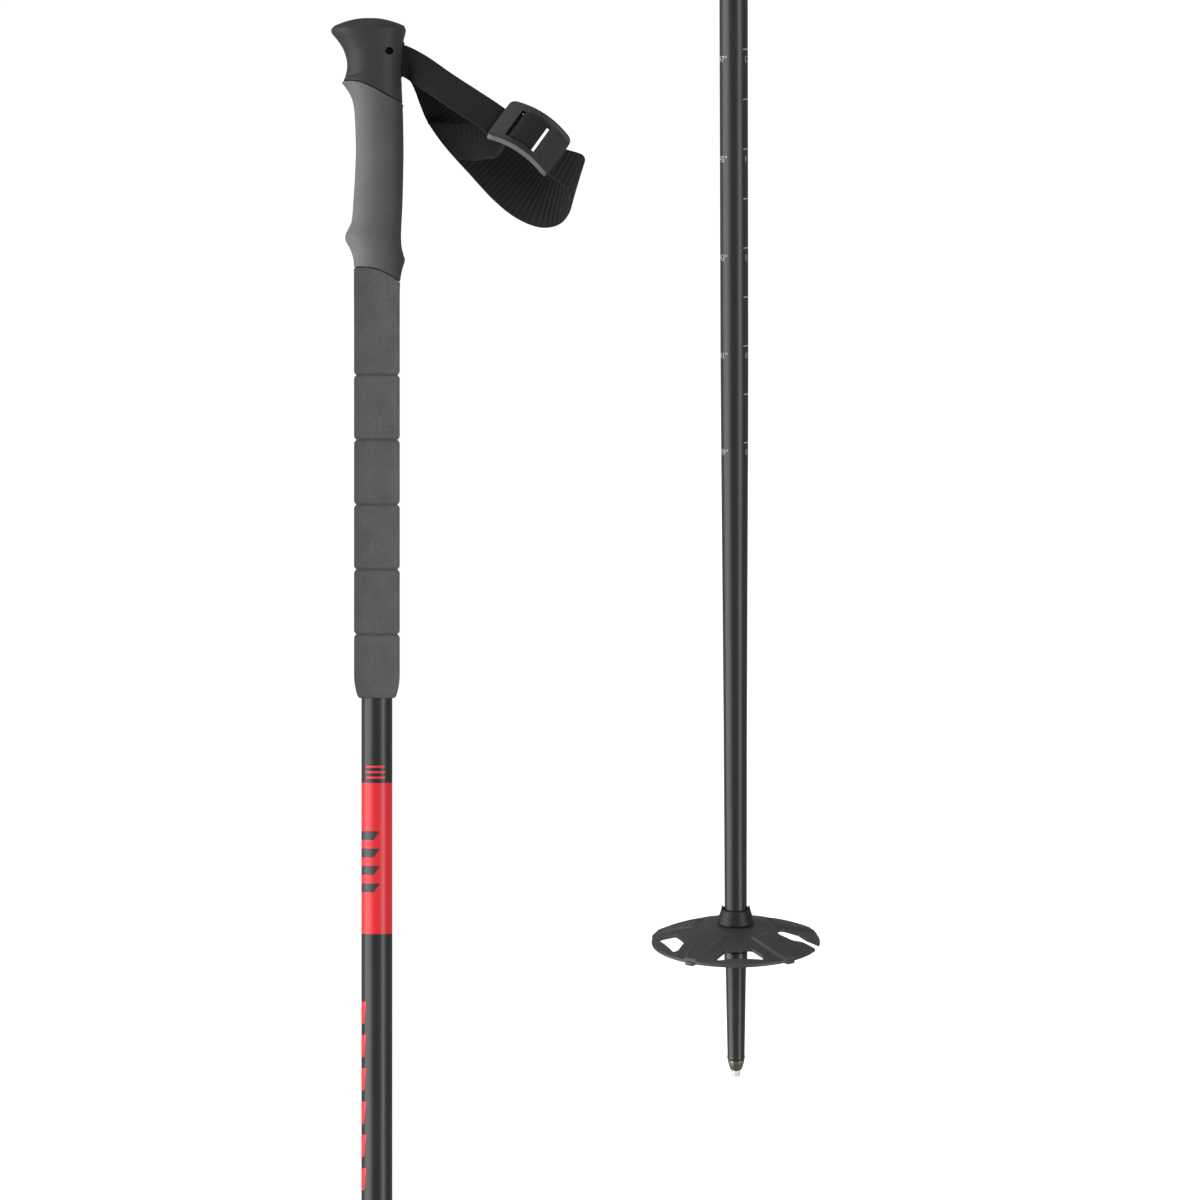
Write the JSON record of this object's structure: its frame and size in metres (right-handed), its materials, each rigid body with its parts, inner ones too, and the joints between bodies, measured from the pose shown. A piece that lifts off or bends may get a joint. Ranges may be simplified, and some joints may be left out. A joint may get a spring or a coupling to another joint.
{
  "type": "telescoping ski pole",
  "caption": "Telescoping ski touring pole with a shaped grip, foam extension, adjustable wrist strap, lever clamp, tapered lower shaft, wide snow basket and hard tip.",
  "frame": {"origin": "centre of the tip's flat end, on the pole's axis", "axes": "+Z along the pole towards the grip, -X towards the finger side of the grip, +X towards the wrist strap"},
  "size_m": [0.1515, 0.088, 1.25],
  "materials": {
    "shaft": "satin black anodised tube with a red band and small scale marks",
    "hard_plastic": "fine matte moulded plastic",
    "grip_rubber": "soft matte rubber",
    "foam": "closed-cell foam with turned grooves",
    "webbing": "ribbed woven nylon webbing",
    "buckle": "satin moulded plastic",
    "clamp": "satin moulded plastic",
    "lever": "satin moulded plastic",
    "basket": "smooth semi-gloss moulded plastic",
    "ferrule": "satin moulded plastic",
    "steel": "plain turned steel",
    "tip_metal": "olive grey faceted metal",
    "carbide": "pale ground hard metal"
  },
  "bodies": {
    "upper_section": {"upper_shaft": "shaft", "grip_core": "hard_plastic", "grip_rubber": "grip_rubber", "foam_sleeve": "foam", "strap_pin": "steel", "strap_end": "webbing", "clamp_collar": "clamp", "cam_plate": "steel", "lever_barrel": "steel", "tension_bolt": "steel"},
    "lower_section": {"lower_shaft": "shaft", "inner_guide": "clamp", "basket_hub": "hard_plastic", "basket_disc": "basket", "ferrule": "ferrule", "tip_holder": "tip_metal", "carbide_tip": "carbide"},
    "lever": {"clamp_lever": "lever"},
    "wheel": {"adjuster_wheel": "lever"},
    "strap": {"strap_front_band": "webbing", "strap_loop_band": "webbing", "strap_buckle": "buckle"}
  },
  "joints": [
    {"name": "shaft_slide", "type": "slide", "parent": "upper_section", "child": "lower_section", "axis": [0, 0, 1], "range_m": [-0.15, 0.25]},
    {"name": "lever_hinge", "type": "hinge", "parent": "upper_section", "child": "lever", "pos_m": [0.0153, -0.0117, 0.608], "axis": [0, 0, 1], "range_deg": [0, 110]},
    {"name": "wheel_turn", "type": "hinge", "parent": "upper_section", "child": "wheel", "pos_m": [0.0153, 0.0087, 0.608], "axis": [0, 1, 0], "range_deg": [-360, 360]},
    {"name": "strap_swing", "type": "hinge", "parent": "upper_section", "child": "strap", "pos_m": [0.0156, 0, 1.22875], "axis": [0, 0, 1], "range_deg": [-60, 60]}
  ]
}
